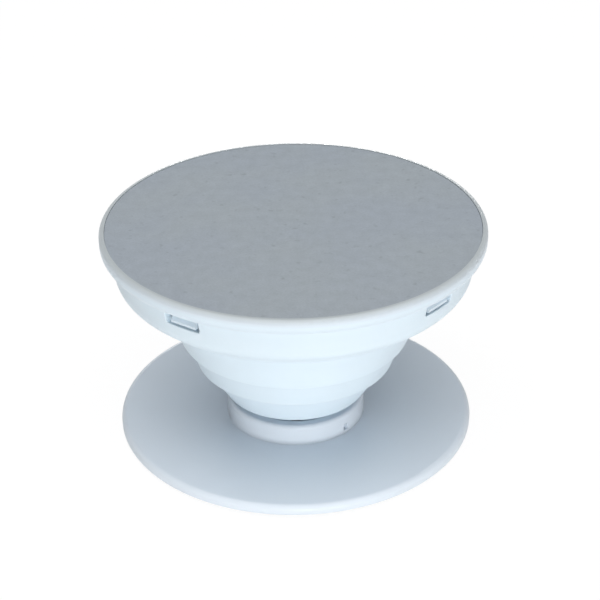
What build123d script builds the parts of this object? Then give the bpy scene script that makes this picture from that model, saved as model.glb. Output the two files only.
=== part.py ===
from build123d import *
import os

# Collapsible phone grip, drawn pulled out, in millimetres.
# The origin is in the middle of the adhesive pad's lower face and +Z runs up the axis.
# The front of the grip faces -Y. Angles around the axis count from the front towards +X.

# Adhesive pad
pad_thickness = 0.3
pad_inset = 0.7

# Platform: a disc whose top face falls a little from its rim to the collar
platform_radius = 18.95
platform_thickness = 1.1
platform_dish = 0.6
platform_top_rounding = 0.6
platform_foot_rounding = 0.25

# Plug: a spool that holds the accordion's floor and snaps into the collar
plug_waist_radius = 3.8
plug_head_lip = 1.4
plug_head_thickness = 1.0
plug_shoulder_lip = 1.5
plug_snap_depth = 0.6
plug_snap_thickness = 1.0
plug_slot_width = 1.0
plug_slot_roof = 0.5
plug_hollow_wall = 1.5
plug_rounding = 0.2

# Collar on the platform, around the plug, with a well in its top around the accordion's neck
collar_wall = 1.3
collar_lip_thickness = 1.1
collar_foot_rounding = 0.1
collar_top_rounding = 0.45
well_width = 0.9
well_depth = 0.6
well_rounding = 0.1
mark_angle = 45.5
mark_width = 0.6
mark_height = 0.8
mark_depth = 0.5
mark_drop = 1.15

# Accordion: neck, floor and three rings, each stepping out over the one below it
neck_margin = 0.6
neck_height = 0.33
neck_rounding = 0.15
foot_rise = 0.5
ring_wall = 1.15
ring_rounding = 0.25
fold_wall = 0.6
fold_reach = 0.5
fold_step = 0.6
fold_rise = 0.12
fold_rounding = 0.1
lower_ring_flare = 2.33
lower_ring_height = 3.65
middle_ring_flare = 1.0
middle_ring_height = 2.95
upper_ring_flare = 2.15
upper_ring_height = 5.8
head_gap = 1.27

# Skirt of the accordion, under the button
ledge_width = 2.09
ledge_drop = 0.1
ledge_wall = 1.0
skirt_foot_rounding = 1.5
bowl_flare = 2.06
bowl_height = 1.71
bowl_rounding = 2.0
skirt_flare = 0.54
skirt_height = 3.25
skirt_wall = 1.2
bowl_wall = 1.05
rebate_depth = 0.4
bridge_height = 0.4
bore_height = 2.1

# Clip windows in the skirt, in two pairs, and the button's hooks in them
clip_pair_angles = (6.7, 186.7)
window_half_spread = 41.75
window_width = 4.0
window_height = 1.5
hook_half_spread = 41.4
hook_width = 2.9
hook_thickness = 1.05
hook_recess = 0.15
hook_sill_gap = 0.28
hook_face_height = 0.25
hook_slope = 0.75

# Button
rim_overhang = 0.94
rim_width = 0.55
rim_top_rounding = 0.42
rim_foot_rounding = 0.75
groove_roof = 0.5
spigot_depth = 0.85

# Insert and its film
film_thickness = 0.15
film_inset = 0.5
insert_clearance = 0.02
insert_thickness = 0.61
insert_sink = 0.06
insert_rounding = 0.05

# Clearances
running_clearance = 0.1
snap_clearance = 0.2
fit_clearance = 0.1
seat_clearance = 0.05
collar_gap = 0.17

# Heights, from the pad upwards
platform_top = pad_thickness + platform_thickness
dish_floor = platform_top - platform_dish
snap_bottom = dish_floor + running_clearance
snap_top = snap_bottom + plug_snap_thickness
collar_top = snap_top + running_clearance + collar_lip_thickness
well_floor = collar_top - well_depth
floor_bottom = collar_top + collar_gap
neck_top = floor_bottom + neck_height
foot_height = neck_top + foot_rise
floor_top = foot_height + fold_reach

# Radii, from the plug outwards
head_radius = plug_waist_radius + plug_head_lip
stem_radius = plug_waist_radius + plug_shoulder_lip
snap_radius = stem_radius + plug_snap_depth
collar_bore = stem_radius + running_clearance
collar_groove = snap_radius + snap_clearance
collar_radius = collar_groove + collar_wall
well_radius = collar_bore + well_width
floor_hole = plug_waist_radius + seat_clearance
neck_radius = stem_radius + neck_margin
foot_radius = head_radius + head_gap + ring_wall

# Skirt and button, above the rings
rings = (
    (lower_ring_flare, lower_ring_height),
    (middle_ring_flare, middle_ring_height),
    (upper_ring_flare, upper_ring_height),
)
fold_count = len(rings) - 1
rings_radius = foot_radius + sum(flare for flare, rise in rings) + fold_count * fold_step
rings_top = foot_height + sum(rise for flare, rise in rings) + fold_count * fold_rise
skirt_foot_radius = rings_radius + ledge_width
skirt_foot = rings_top - ledge_drop
bowl_radius = skirt_foot_radius + bowl_flare
bowl_top = skirt_foot + bowl_height
skirt_radius = bowl_radius + skirt_flare
shoulder_height = bowl_top + skirt_height
skirt_top = shoulder_height + bridge_height
skirt_bore = skirt_radius - skirt_wall
rebate_radius = skirt_radius - rebate_depth
button_radius = skirt_radius + rim_overhang
spigot_radius = skirt_bore - fit_clearance
lip_radius = rebate_radius + fit_clearance
lip_bottom = shoulder_height + fit_clearance
groove_top = skirt_top + fit_clearance
plate_bottom = groove_top - spigot_depth
recess_floor = groove_top + groove_roof
film_top = recess_floor + film_thickness
insert_top = film_top + insert_thickness
rim_top = insert_top + insert_sink
recess_radius = button_radius - rim_width
insert_radius = recess_radius - insert_clearance
window_bottom = shoulder_height - window_height
hook_top = shoulder_height - fit_clearance

quarter_turn = 90.0


def turned(corners):
    """Turn an outline about the axis. Each corner is its radius, its height and its rounding."""
    points = [(radius, height) for radius, height, rounding in corners]
    roundings = [rounding for radius, height, rounding in corners]
    outline = FilletPolyline(*points, radius=roundings, close=True)
    return revolve(Plane.XZ * make_face(outline), axis=Axis.Z)


def disc(radius, bottom, top, rounding=0.0):
    """Flat round disc with its upper edge rounded."""
    return turned([(0, bottom, 0), (radius, bottom, 0), (radius, top, rounding), (0, top, 0)])


def around(angle, shape):
    """Turn a shape drawn at the front of the grip to its angle around the axis."""
    return Rot(0, 0, angle) * shape


def clip_places(half_spread):
    """Angles of the four clips, a pair on the front and a pair on the back."""
    return [pair + side * half_spread for pair in clip_pair_angles for side in (-1, 1)]


def front_block(width, inner, outer, bottom, top):
    """Block across the front of the grip, between two radii."""
    block = Box(width, outer - inner, top - bottom)
    return Pos(0, -(inner + outer) / 2, (bottom + top) / 2) * block


def make_adhesive_pad():
    return disc(platform_radius - pad_inset, 0, pad_thickness)


def make_platform():
    body = turned([
        (0, pad_thickness, 0),
        (platform_radius, pad_thickness, platform_foot_rounding),
        (platform_radius, platform_top, platform_top_rounding),
        (collar_radius, dish_floor, collar_foot_rounding),
        (collar_radius, collar_top, collar_top_rounding),
        (well_radius, collar_top, well_rounding),
        (well_radius, well_floor, 0),
        (collar_bore, well_floor, 0),
        (collar_bore, snap_top + running_clearance, 0),
        (collar_groove, snap_top + running_clearance, 0),
        (collar_groove, dish_floor, 0),
        (0, dish_floor, 0),
    ])
    mark_top = collar_top - mark_drop
    mark = front_block(mark_width, collar_radius - mark_depth, collar_radius + mark_depth,
                       mark_top - mark_height, mark_top)
    return body - around(mark_angle, mark)


def make_retaining_plug():
    spool = turned([
        (0, snap_bottom, 0),
        (snap_radius, snap_bottom, plug_rounding),
        (snap_radius, snap_top, plug_rounding),
        (stem_radius, snap_top, 0),
        (stem_radius, floor_bottom, 0),
        (plug_waist_radius, floor_bottom, 0),
        (plug_waist_radius, floor_top, 0),
        (head_radius, floor_top, 0),
        (head_radius, floor_top + plug_head_thickness, plug_rounding),
        (0, floor_top + plug_head_thickness, 0),
    ])
    slot_top = floor_bottom - plug_slot_roof
    hollow = disc(stem_radius - plug_hollow_wall, snap_bottom, slot_top)
    slot = front_block(plug_slot_width, -snap_radius, snap_radius, snap_bottom, slot_top)
    return spool - hollow - slot - around(quarter_turn, slot)


def accordion_rings():
    """Corners of the ring walls: the outside from the foot up, and the inside from the floor up."""
    outside = []
    inside = []
    radius = foot_radius
    height = foot_height
    for flare, rise in rings:
        reach_flare = flare * fold_reach / rise
        outside += [
            (radius, height, ring_rounding),
            (radius + flare, height + rise, fold_rounding),
        ]
        inside += [
            (radius + reach_flare - ring_wall, height + fold_reach, 0),
            (radius + flare - reach_flare - ring_wall, height + rise - fold_reach, 0),
            (radius + flare - fold_wall, height + rise + fold_rise / 2, 0),
        ]
        radius += flare + fold_step
        height += rise + fold_rise
    return outside, inside[:-1]


def make_accordion():
    outside, inside = accordion_rings()
    ledge_top = skirt_foot + ledge_wall
    neck_and_floor = [
        (floor_hole, floor_bottom, 0),
        (neck_radius, floor_bottom, neck_rounding),
        (neck_radius, neck_top, neck_rounding),
    ]
    skirt = [
        (skirt_foot_radius, skirt_foot, skirt_foot_rounding),
        (bowl_radius, bowl_top, bowl_rounding),
        (skirt_radius, shoulder_height, 0),
        (rebate_radius, shoulder_height, 0),
        (rebate_radius, skirt_top, 0),
        (skirt_bore, skirt_top, 0),
        (skirt_bore, skirt_top - bore_height, 0),
        (bowl_radius - bowl_wall, bowl_top, 0),
        (skirt_foot_radius - ledge_wall / 2, ledge_top, 0),
        (rings_radius, ledge_top, 0),
    ]
    floor = [(floor_hole, floor_top, 0)]
    body = turned(neck_and_floor + outside + skirt + inside[::-1] + floor)
    window = front_block(window_width, skirt_bore - skirt_wall, button_radius,
                         window_bottom, shoulder_height)
    for angle in clip_places(window_half_spread):
        body -= around(angle, window)
    return body


def make_hook():
    """Snap hook at the front: an arm under the plate with a nose that leans back from its lip."""
    arm_outer = spigot_radius - fit_clearance
    arm_inner = arm_outer - hook_thickness
    hook_bottom = window_bottom + fit_clearance
    lip_low = window_bottom + hook_sill_gap
    lip_high = lip_low + hook_face_height
    tip = skirt_radius - skirt_flare * (shoulder_height - lip_high) / skirt_height - hook_recess
    side = make_face(Polyline(
        (arm_inner, hook_top),
        (arm_inner, hook_bottom),
        (arm_outer, hook_bottom),
        (tip, lip_low),
        (tip, lip_high),
        (tip - hook_slope, hook_top),
        close=True,
    ))
    across = Plane(origin=(0, 0, 0), x_dir=(0, -1, 0), z_dir=(-1, 0, 0))
    return extrude(across * side, amount=hook_width / 2, both=True)


def make_button():
    body = turned([
        (0, plate_bottom, 0),
        (spigot_radius, plate_bottom, 0),
        (spigot_radius, groove_top, 0),
        (lip_radius, groove_top, 0),
        (lip_radius, lip_bottom, 0),
        (button_radius, lip_bottom, rim_foot_rounding),
        (button_radius, rim_top, rim_top_rounding),
        (recess_radius, rim_top, 0),
        (recess_radius, recess_floor, 0),
        (0, recess_floor, 0),
    ])
    hook = make_hook()
    for angle in clip_places(hook_half_spread):
        body += around(angle, hook)
    return body


def make_insert_adhesive():
    return disc(insert_radius - film_inset, recess_floor, film_top)


def make_top_insert():
    return disc(insert_radius, film_top, insert_top, insert_rounding)


pieces = {
    "adhesive_pad": make_adhesive_pad(),
    "platform": make_platform(),
    "retaining_plug": make_retaining_plug(),
    "accordion": make_accordion(),
    "button": make_button(),
    "insert_adhesive": make_insert_adhesive(),
    "top_insert": make_top_insert(),
}

os.makedirs("parts", exist_ok=True)
for name, piece in pieces.items():
    export_step(piece, f"parts/{name}.step")
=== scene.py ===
import math

import bmesh
import bpy
import numpy as np
from mathutils import Matrix, Vector, noise


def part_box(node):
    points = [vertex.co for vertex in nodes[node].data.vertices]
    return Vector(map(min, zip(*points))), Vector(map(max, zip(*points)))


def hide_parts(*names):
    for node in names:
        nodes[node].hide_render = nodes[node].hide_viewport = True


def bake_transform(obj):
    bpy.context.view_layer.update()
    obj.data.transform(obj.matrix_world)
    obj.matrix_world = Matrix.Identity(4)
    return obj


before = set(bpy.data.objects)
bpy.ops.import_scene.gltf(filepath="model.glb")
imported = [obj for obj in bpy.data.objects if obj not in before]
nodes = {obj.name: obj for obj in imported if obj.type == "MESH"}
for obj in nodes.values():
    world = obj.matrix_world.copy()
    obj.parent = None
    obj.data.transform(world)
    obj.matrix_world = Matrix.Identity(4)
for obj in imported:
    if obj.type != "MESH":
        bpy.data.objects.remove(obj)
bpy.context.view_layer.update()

MM = 0.001

# Accordion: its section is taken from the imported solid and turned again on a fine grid
SECTION_ANGLE = math.radians(10)
WELD = 0.002 * MM
ON_PLANE = 0.00001 * MM
GRID_STEP = 0.25 * MM
GRID_SEGMENTS = 240
WAVE_HEIGHT = 0.02 * MM
WAVE_LENGTH = 5 * MM
SMOOTH_ANGLE = math.radians(35)

# The fold runs from the foot of the rings to the skirt
FOLD_START = 4.1 * MM
FOLD_END = 17.9 * MM

# Painted light and shade by height, a row for each ring and one for the skirt's foot: painted shade
# close under each step, painted light towards each ring's lower edge, on the lowest ring and on the
# skirt's foot
RING_PAINTED_LIGHT = [
    (FOLD_START, 0.035), (6.2 * MM, 0.03), (7.75 * MM, 0.015),
    (7.87 * MM, 0.0), (9.4 * MM, 0.005), (10.82 * MM, -0.025),
    (10.94 * MM, 0.03), (13.5 * MM, 0.0), (16.0 * MM, -0.028),
    (16.6 * MM, 0.03), (17.2 * MM, 0.03), (18.2 * MM, 0.0),
]

# Clip windows in the skirt, in two pairs, by their angles in degrees from the front (-Y) towards +X
PAIR_TURN = 6.7
PAIR_HALF_SPREAD = 41.75
WINDOW_ANGLES = [math.radians(facing + PAIR_TURN + side * PAIR_HALF_SPREAD)
                 for facing in (0, 180) for side in (-1, 1)]
WINDOW_WIDTH = 4.0 * MM
WINDOW_HEIGHT = 1.5 * MM
WINDOW_CORNER = 0.25 * MM
WINDOW_EASE = 0.1 * MM
BRIDGE_HEIGHT = 0.4 * MM
BRIDGE_CUT = 0.02 * MM
SKIRT_WALL = 1.2 * MM
CUTTER_MARGIN = 0.6 * MM
CORNER_STEPS = 6
SILL_STEPS = 10
EASE_STEPS = 5

# Camera, fitted to the photograph
CAMERA_PLACE = Vector((0, -147.78, 99.33)) * MM
CAMERA_PITCH = math.radians(29.94)
CAMERA_YAW = math.radians(0.23)
CAMERA_ROLL = math.radians(-0.68)
CAMERA_LENS = 97.0
CAMERA_NEAR = 1 * MM

# Light: a soft box overhead, a low strip at the front, a weaker one at the back, and white surroundings
AMBIENT = 0.195
OVERHEAD_PLACE = Vector((-25, -110, 580)) * MM
OVERHEAD_SIZE = (750 * MM, 450 * MM)
OVERHEAD_WATTS = 2.6
STRIP_PLACE = Vector((90, -585, 22)) * MM
STRIP_SIZE = (240 * MM, 40 * MM)
STRIP_WATTS = 1.85
BACK_PLACE = Vector((0, 585, 22)) * MM
BACK_WATTS = 0.75

# Floor: matt, with a glow that only the camera and mirror images see
FLOOR_HALF = 3.0
FLOOR_DROP = 0.02 * MM
FLOOR_COLOUR = (0.9, 0.9, 0.9, 1)
FLOOR_GLOW = 0.9
FLOOR_SHINE = 1.045

# Colours, linear
WHITE_PLASTIC = (0.765, 0.875, 0.955)
WHITE_ELASTOMER = (0.765, 0.875, 0.955)
PLATFORM_WHITE = (0.757, 0.822, 0.890)
FILM_WHITE = (0.7, 0.7, 0.68)
INSERT_GREY = (0.411, 0.46, 0.508)
PAD_GREY = (0.62, 0.65, 0.67)

# Most values of a noise field lie between these two
NOISE_LOW = 0.3
NOISE_HIGH = 0.7

# Mouldings: low gloss on the white ones, with clouds of colour and patches of roughness on all
SATIN = 0.2
CLOUD_SIZE = 7 * MM
PATCH_SIZE = 2.5 * MM

# Insert: fine grain and mottling, two faint tones in large patches, dull pits and a few dark specks
INSERT_SPECULAR = 0.25
INSERT_ROUGHNESS = (0.75, 0.9)
GRAIN_SIZE = 0.22 * MM
GRAIN_DEPTH = 0.02 * MM
GRAIN_CLOUDING = 0.04
TONE_SIZE = 9 * MM
TONE_STOPS = [(0.35, (1.005, 1.0, 0.985)), (0.65, (0.985, 0.985, 1.0))]
MOTTLE_SIZE = 1.3 * MM
MOTTLE_STOPS = [(NOISE_LOW, (0.945, 0.945, 0.945)), (NOISE_HIGH, (1.045, 1.045, 1.045))]
PIT_SIZE = 0.8 * MM
PIT_STOPS = [(0.2, (0.85, 0.85, 0.85)), (0.34, (1, 1, 1))]
SPECK_SPACING = 11 * MM
SPECK_SIZE = 0.2 * MM
SPECK_STOPS = [
    (SPECK_SIZE / SPECK_SPACING / 2, (0.5, 0.5, 0.5)),
    (SPECK_SIZE / SPECK_SPACING, (1, 1, 1)),
]

# Pad: foam cells, with their shades from the middle to the edge
CELL_SIZE = 0.35 * MM
CELL_DEPTH = 0.05 * MM
CELL_SHADES = [(0.1, 0.8), (0.5, 1.05)]
PAD_PATCH_SIZE = 3 * MM
PAD_ROUGHNESS = (0.6, 0.85)

# Painted shade on the button's rim, greyer from its foot to its upper edge
RIM_SHADE_HEIGHT = 0.82 * MM
RIM_PAINTED_SHADES = [
    (0.0, (0.965, 0.96, 0.96)),
    (0.35, (0.91, 0.89, 0.885)),
    (0.6, (0.79, 0.765, 0.755)),
    (0.82, (0.72, 0.69, 0.665)),
    (1.0, (0.67, 0.64, 0.61)),
]


def tint(colour, factor):
    """A colour made lighter or darker."""
    return [min(1, part * factor) for part in colour]


def clouded(colour, amount):
    """Stops from a darker to a lighter tint of a colour, over a noise field."""
    return [(NOISE_LOW, tint(colour, 1 - amount)), (NOISE_HIGH, tint(colour, 1 + amount))]


def add_node(tree, kind, inputs=None, **settings):
    """Add a shader node, apply its settings, and set or link its inputs."""
    made = tree.nodes.new(kind)
    for name, value in settings.items():
        setattr(made, name, value)
    for name, value in (inputs or {}).items():
        if isinstance(value, bpy.types.NodeSocket):
            tree.links.new(value, made.inputs[name])
        else:
            made.inputs[name].default_value = value
    return made


def combine(tree, kind, operation, *fields):
    """One field worked out from others by a math node."""
    made = add_node(tree, kind, operation=operation)
    for field, socket in zip(fields, made.inputs):
        tree.links.new(field, socket)
    return made.outputs[0]


def new_material(name, **constants):
    """A principled material whose even values are set on the shader itself."""
    material = bpy.data.materials.new(name)
    material.use_nodes = True
    tree = material.node_tree
    shader = tree.nodes["Principled BSDF"]
    for socket, value in constants.items():
        shader.inputs[socket.replace("_", " ")].default_value = value
    place = add_node(tree, "ShaderNodeTexCoord").outputs["Object"]
    return material, tree, shader, place


def set_fields(tree, shader, colour, roughness, normal):
    """Link the fields that vary over a surface to its shader."""
    for socket, field in (("Base Color", colour), ("Roughness", roughness), ("Normal", normal)):
        tree.links.new(field, shader.inputs[socket])


def base_colour(material):
    """A material's node tree, its base colour socket and the field linked to that."""
    tree = material.node_tree
    socket = tree.nodes["Principled BSDF"].inputs["Base Color"]
    return tree, socket, socket.links[0].from_socket


def noise_field(tree, place, size, detail=2.0):
    """Noise whose blotches are about a given size."""
    field = add_node(tree, "ShaderNodeTexNoise",
                     {"Vector": place, "Scale": 1 / size, "Detail": detail})
    return field.outputs["Fac"]


def cell_field(tree, place, size):
    """Distance from the middle of the nearest cell, in cells of about a given size."""
    field = add_node(tree, "ShaderNodeTexVoronoi", {"Vector": place, "Scale": 1 / size})
    return field.outputs["Distance"]


def colour_ramp(tree, factor, stops):
    """Opaque colours along a factor, as (position, colour) stops."""
    ramp = add_node(tree, "ShaderNodeValToRGB", {"Fac": factor})
    elements = ramp.color_ramp.elements
    while len(elements) < len(stops):
        elements.new(1)
    for element, (position, colour) in zip(elements, stops):
        element.position = position
        element.color = (*colour, 1)
    return ramp.outputs["Color"]


def spread(tree, noise_values, low, high):
    """A noise field spread over a range of values."""
    field = add_node(tree, "ShaderNodeMapRange",
                     {"Value": noise_values, "From Min": NOISE_LOW, "From Max": NOISE_HIGH,
                      "To Min": low, "To Max": high})
    return field.outputs["Result"]


def bump(tree, height, depth):
    """Normal of a surface raised by a height field."""
    return add_node(tree, "ShaderNodeBump", {"Height": height, "Distance": depth}).outputs["Normal"]


def shaded(tree, colour, shade):
    """A colour darkened by a field of shades."""
    return combine(tree, "ShaderNodeVectorMath", "MULTIPLY", colour, shade)


def moulded(name, colour, clouding, roughness, grain, depth, **constants):
    """Moulded plastic or elastomer: faint clouds of colour, uneven gloss and a fine skin."""
    material, tree, shader, place = new_material(name, **constants)
    clouds = noise_field(tree, place, CLOUD_SIZE, detail=4)
    skin = noise_field(tree, place, grain, detail=3)
    patches = noise_field(tree, place, PATCH_SIZE, detail=3)
    set_fields(tree, shader,
               colour_ramp(tree, clouds, clouded(colour, clouding)),
               spread(tree, patches, *roughness),
               bump(tree, skin, depth))
    return material


def insert_material():
    """Matt grey disc: fine grain and soft mottling, with pits, specks and patches of another tone."""
    material, tree, shader, place = new_material("insert_grey", Specular_IOR_Level=INSERT_SPECULAR)
    grain = noise_field(tree, place, GRAIN_SIZE)
    mottle = noise_field(tree, place, MOTTLE_SIZE, detail=4)
    marks = [
        (noise_field(tree, place, TONE_SIZE), TONE_STOPS),
        (mottle, MOTTLE_STOPS),
        (noise_field(tree, place, PIT_SIZE, detail=1), PIT_STOPS),
        (cell_field(tree, place, SPECK_SPACING), SPECK_STOPS),
    ]
    colour = colour_ramp(tree, grain, clouded(INSERT_GREY, GRAIN_CLOUDING))
    for field, stops in marks:
        colour = shaded(tree, colour, colour_ramp(tree, field, stops))
    set_fields(tree, shader,
               colour,
               spread(tree, mottle, *INSERT_ROUGHNESS),
               bump(tree, grain, GRAIN_DEPTH))
    return material


def pad_material():
    """Sticky foam: open cells with a dull skin between them."""
    material, tree, shader, place = new_material("pad_foam")
    cells = cell_field(tree, place, CELL_SIZE)
    patches = noise_field(tree, place, PAD_PATCH_SIZE, detail=3)
    stops = [(position, tint(PAD_GREY, shade)) for position, shade in CELL_SHADES]
    set_fields(tree, shader,
               colour_ramp(tree, cells, stops),
               spread(tree, patches, *PAD_ROUGHNESS),
               bump(tree, cells, CELL_DEPTH))
    return material


def paint_rim_shade(material):
    """Paint shade on the button's rim, greyer towards its upper edge."""
    tree, socket, colour = base_colour(material)
    place = add_node(tree, "ShaderNodeTexCoord").outputs["Object"]
    height = add_node(tree, "ShaderNodeSeparateXYZ", {"Vector": place}).outputs["Z"]
    rim_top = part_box("button")[1].z
    share = add_node(tree, "ShaderNodeMapRange",
                     {"Value": height, "From Min": rim_top - RIM_SHADE_HEIGHT, "From Max": rim_top})
    shade = colour_ramp(tree, share.outputs["Result"], RIM_PAINTED_SHADES)
    tree.links.new(shaded(tree, colour, shade), socket)


def paint_ring_light(piece):
    """Paint light and shade on a piece by its rings, kept as values on its points: painted shade close
    under each step, painted light towards each ring's lower edge.
    """
    stop_heights, painted_levels = zip(*RING_PAINTED_LIGHT)
    heights = [point.co.z for point in piece.data.vertices]
    values = np.interp(heights, stop_heights, painted_levels).astype(np.float32)
    attribute = piece.data.attributes.new("ring_painted_light", "FLOAT", "POINT")
    attribute.data.foreach_set("value", values)
    tree, socket, colour = base_colour(piece.data.materials[0])
    painted_field = add_node(tree, "ShaderNodeAttribute", attribute_name=attribute.name).outputs["Fac"]
    painted_colour = combine(tree, "ShaderNodeVectorMath", "MULTIPLY_ADD", colour, painted_field, colour)
    tree.links.new(painted_colour, socket)


def half_section(node):
    """Closed outline of a turned node in one half plane through the axis, as (radius, height)."""
    across = Vector((math.cos(SECTION_ANGLE), math.sin(SECTION_ANGLE), 0))
    work = bmesh.new()
    work.from_mesh(node.data)
    bmesh.ops.remove_doubles(work, verts=work.verts, dist=WELD)
    bmesh.ops.bisect_plane(work, geom=work.verts[:] + work.edges[:] + work.faces[:],
                           plane_co=(0, 0, 0), plane_no=across.cross((0, 0, 1)), dist=ON_PLANE,
                           clear_inner=True, clear_outer=True)
    first = max(work.verts, key=lambda vertex: vertex.co.dot(across))
    previous = None
    here = first
    outline = []
    while here is not first or not outline:
        outline.append((here.co.dot(across), here.co.z))
        ahead = [edge.other_vert(here) for edge in here.link_edges]
        previous, here = here, next(vertex for vertex in ahead if vertex is not previous)
    work.free()
    return outline


def sides(outline):
    """Start and end of each side of a closed outline."""
    return zip(outline, outline[1:] + outline[:1])


def divided(outline, step):
    """The same outline with no side longer than a step."""
    fine = []
    for start, end in sides(outline):
        parts = math.ceil(math.dist(start, end) / step)
        for part in range(parts):
            share = part / parts
            fine.append(tuple(a + (b - a) * share for a, b in zip(start, end)))
    return fine


def outer_radius(outline, height):
    """Radius of the outside of a turned outline at a height."""
    radii = []
    for (r0, z0), (r1, z1) in sides(outline):
        if min(z0, z1) <= height <= max(z0, z1) and z0 != z1:
            radii.append(r0 + (r1 - r0) * (height - z0) / (z1 - z0))
    return max(radii)


def grid_mesh(name, rings, closed_ends=False):
    """Mesh of rings of points joined in order: all the way round, or with a face on each end."""
    count = len(rings[0])
    points = [point for ring in rings for point in ring]
    links = list(zip(range(len(rings)), range(1, len(rings))))
    if not closed_ends:
        links.append((len(rings) - 1, 0))
    faces = []
    for this, following in links:
        for k in range(count):
            after = (k + 1) % count
            faces.append((this * count + k, this * count + after,
                          following * count + after, following * count + k))
    if closed_ends:
        faces.append(list(range(count)))
        faces.append(list(range(len(points) - count, len(points))))
    mesh = bpy.data.meshes.new(name)
    mesh.from_pydata(points, [], faces)
    work = bmesh.new()
    work.from_mesh(mesh)
    bmesh.ops.recalc_face_normals(work, faces=work.faces)
    work.to_mesh(mesh)
    work.free()
    return mesh


def add_object(name, data):
    """Put a mesh, lamp or camera into the scene."""
    made = bpy.data.objects.new(name, data)
    bpy.context.scene.collection.objects.link(made)
    return made


def window_outline(ease, bottom, top):
    """Points of a window, from its upper left corner down and round, as (across, height)."""
    half = WINDOW_WIDTH / 2 + ease
    corner = WINDOW_CORNER + ease
    low = bottom - ease
    left = []
    for k in range(CORNER_STEPS + 1):
        turn = math.pi / 2 * k / CORNER_STEPS
        left.append((-half + corner * (1 - math.cos(turn)), low + corner * (1 - math.sin(turn))))
    flat = half - corner
    sill = [(-flat + 2 * flat * k / SILL_STEPS, low) for k in range(1, SILL_STEPS)]
    right = [(-across, height) for across, height in reversed(left)]
    return [(-half, top)] + left + sill + right + [(half, top)]


def window_cutter(angle, outline, bottom, top):
    """Plug of one clip window, flared at the skirt's face so that the window's edge is eased."""
    depths = [(-CUTTER_MARGIN, WINDOW_EASE)]
    for k in range(EASE_STEPS + 1):
        depth = WINDOW_EASE * k / EASE_STEPS
        depths.append((depth, WINDOW_EASE - math.sqrt(WINDOW_EASE ** 2 - (WINDOW_EASE - depth) ** 2)))
    depths.append((SKIRT_WALL + CUTTER_MARGIN, 0))
    turn = Matrix.Rotation(angle, 3, "Z")
    rings = []
    for depth, ease in depths:
        ring = []
        for across, height in window_outline(ease, bottom, top):
            reach = outer_radius(outline, min(height, top - BRIDGE_CUT - WELD)) - depth
            ring.append(turn @ Vector((across, -math.sqrt(reach ** 2 - across ** 2), height)))
        rings.append(ring)
    return grid_mesh("window_cutter", rings, closed_ends=True)


def cut(piece, meshes):
    """Take meshes out of a piece for good."""
    work = bmesh.new()
    for mesh in meshes:
        work.from_mesh(mesh)
    bmesh.ops.triangulate(work, faces=work.faces)
    joined = bpy.data.meshes.new("cutters")
    work.to_mesh(joined)
    work.free()
    tool = add_object("cutters", joined)
    modifier = piece.modifiers.new("cut", "BOOLEAN")
    modifier.object = tool
    modifier.solver = "EXACT"
    shown = piece.evaluated_get(bpy.context.evaluated_depsgraph_get())
    piece.data = bpy.data.meshes.new_from_object(shown)
    piece.modifiers.clear()
    bpy.data.objects.remove(tool)


def accordion_mesh(outline):
    """The accordion's outline turned on a fine grid, with faint waves on the rings."""
    profile = divided(outline, GRID_STEP)
    rings = []
    for k in range(GRID_SEGMENTS):
        angle = 2 * math.pi * k / GRID_SEGMENTS
        ring = []
        for radius, height in profile:
            point = Vector((radius * math.cos(angle), radius * math.sin(angle), height))
            if FOLD_START < height < FOLD_END:
                wave = WAVE_HEIGHT * noise.noise(point / WAVE_LENGTH)
                point.x += wave * math.cos(angle)
                point.y += wave * math.sin(angle)
            ring.append(point)
        rings.append(ring)
    return grid_mesh("soft_accordion", rings)


def make_accordion():
    """Soft moulding of neck, rings and skirt on a fine grid, shown in place of the imported accordion.
    """
    outline = half_section(nodes["accordion"])
    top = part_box("accordion")[1].z - BRIDGE_HEIGHT
    bottom = top - WINDOW_HEIGHT
    piece = add_object("soft_accordion", accordion_mesh(outline))
    cut(piece, [window_cutter(angle, outline, bottom, top + BRIDGE_CUT) for angle in WINDOW_ANGLES])
    piece.data.shade_smooth()
    piece.data.set_sharp_from_angle(angle=SMOOTH_ANGLE)
    piece.data.materials.clear()
    piece.data.materials.append(moulded(
        "accordion_white", WHITE_ELASTOMER, clouding=0.01, roughness=(0.4, 0.52),
        grain=0.25 * MM, depth=0.006 * MM, Specular_IOR_Level=SATIN,
        Subsurface_Weight=0.15, Subsurface_Radius=(1.0, 1.0, 1.0), Subsurface_Scale=0.8 * MM))
    # Painted light and shade on the rings, by height
    paint_ring_light(piece)
    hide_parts("accordion")
    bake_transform(piece)


def dress_nodes():
    """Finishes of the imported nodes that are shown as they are."""
    button_white = moulded(
        "button_white", WHITE_PLASTIC, clouding=0.01, roughness=(0.28, 0.38),
        grain=0.3 * MM, depth=0.004 * MM, Specular_IOR_Level=SATIN)
    # Painted shade on the rim, greyer towards its upper edge
    paint_rim_shade(button_white)
    finishes = {
        "adhesive_pad": pad_material(),
        "platform": moulded(
            "platform_white", PLATFORM_WHITE, clouding=0.01, roughness=(0.3, 0.4),
            grain=0.3 * MM, depth=0.004 * MM, Specular_IOR_Level=SATIN),
        "retaining_plug": moulded(
            "plug_white", WHITE_PLASTIC, clouding=0.015, roughness=(0.4, 0.5),
            grain=0.3 * MM, depth=0.006 * MM),
        "button": button_white,
        "insert_adhesive": moulded(
            "film_white", FILM_WHITE, clouding=0.04, roughness=(0.2, 0.45),
            grain=0.5 * MM, depth=0.01 * MM),
        "top_insert": insert_material(),
    }
    for node, material in finishes.items():
        for holder in nodes[node].material_slots:
            holder.material = material


def seen_directly(tree):
    """1 for camera, glossy and transmission rays, 0 for the rays that light the object."""
    path = add_node(tree, "ShaderNodeLightPath").outputs
    mirror = combine(tree, "ShaderNodeMath", "MAXIMUM",
                     path["Is Glossy Ray"], path["Is Transmission Ray"])
    return combine(tree, "ShaderNodeMath", "MAXIMUM", path["Is Camera Ray"], mirror)


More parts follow.
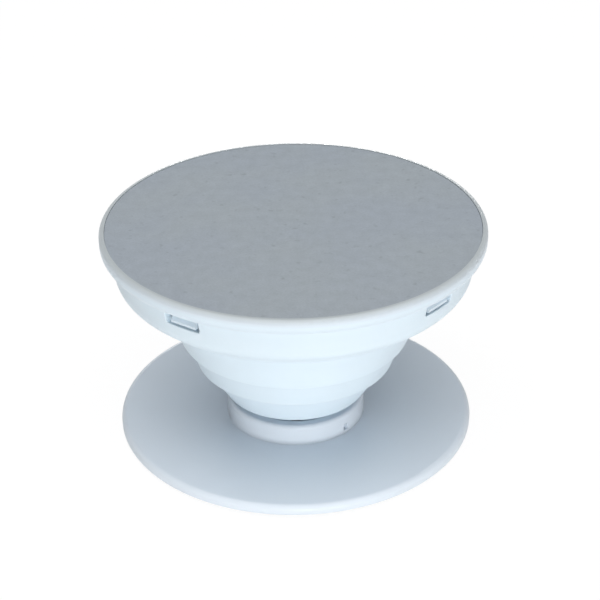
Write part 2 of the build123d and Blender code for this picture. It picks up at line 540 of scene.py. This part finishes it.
def floor_material():
    """Pale matt surface that looks white and still takes the object's shadow."""
    material = bpy.data.materials.new("floor_white")
    material.use_nodes = True
    tree = material.node_tree
    tree.nodes.clear()
    matt = add_node(tree, "ShaderNodeBsdfDiffuse", {"Color": FLOOR_COLOUR})
    glow = add_node(tree, "ShaderNodeEmission", {"Strength": FLOOR_SHINE})
    share = add_node(tree, "ShaderNodeMapRange", {"Value": seen_directly(tree), "To Max": FLOOR_GLOW})
    mixed = add_node(tree, "ShaderNodeMixShader", {"Fac": share.outputs["Result"]})
    tree.links.new(matt.outputs[0], mixed.inputs[1])
    tree.links.new(glow.outputs[0], mixed.inputs[2])
    add_node(tree, "ShaderNodeOutputMaterial", {"Surface": mixed.outputs[0]})
    return material


def make_floor():
    """Wide square floor just under the pad."""
    signs = ((-1, -1), (1, -1), (1, 1), (-1, 1))
    corners = [(x * FLOOR_HALF, y * FLOOR_HALF, -FLOOR_DROP) for x, y in signs]
    mesh = bpy.data.meshes.new("floor")
    mesh.from_pydata(corners, [], [(0, 1, 2, 3)])
    mesh.materials.append(floor_material())
    add_object("floor", mesh)


def add_lamp(name, place, size, watts):
    """Soft rectangular lamp that faces the object."""
    lamp = bpy.data.lights.new(name, "AREA")
    lamp.shape = "RECTANGLE"
    lamp.size, lamp.size_y = size
    lamp.energy = watts
    made = add_object(name, lamp)
    made.location = place
    made.rotation_euler = (-place).to_track_quat("-Z", "Y").to_euler()


def make_light():
    """White surroundings and three soft lamps."""
    world = bpy.data.worlds.new("surroundings")
    world.use_nodes = True
    tree = world.node_tree
    strength = add_node(tree, "ShaderNodeMapRange",
                        {"Value": seen_directly(tree), "To Min": AMBIENT, "To Max": 1})
    background = tree.nodes["Background"]
    background.inputs["Color"].default_value = (1, 1, 1, 1)
    tree.links.new(strength.outputs["Result"], background.inputs["Strength"])
    bpy.context.scene.world = world
    add_lamp("overhead", OVERHEAD_PLACE, OVERHEAD_SIZE, OVERHEAD_WATTS)
    add_lamp("strip", STRIP_PLACE, STRIP_SIZE, STRIP_WATTS)
    add_lamp("back_strip", BACK_PLACE, STRIP_SIZE, BACK_WATTS)


def make_camera():
    """Camera at the photograph's place."""
    camera = add_object("camera", bpy.data.cameras.new("camera"))
    camera.data.lens = CAMERA_LENS
    camera.data.clip_start = CAMERA_NEAR
    camera.location = CAMERA_PLACE
    turn = (Matrix.Rotation(-CAMERA_YAW, 4, "Z")
            @ Matrix.Rotation(math.pi / 2 - CAMERA_PITCH, 4, "X")
            @ Matrix.Rotation(CAMERA_ROLL, 4, "Z"))
    camera.rotation_euler = turn.to_euler()
    bpy.context.scene.camera = camera


make_accordion()
dress_nodes()
make_floor()
make_light()
make_camera()
bpy.context.scene.view_settings.view_transform = "Standard"
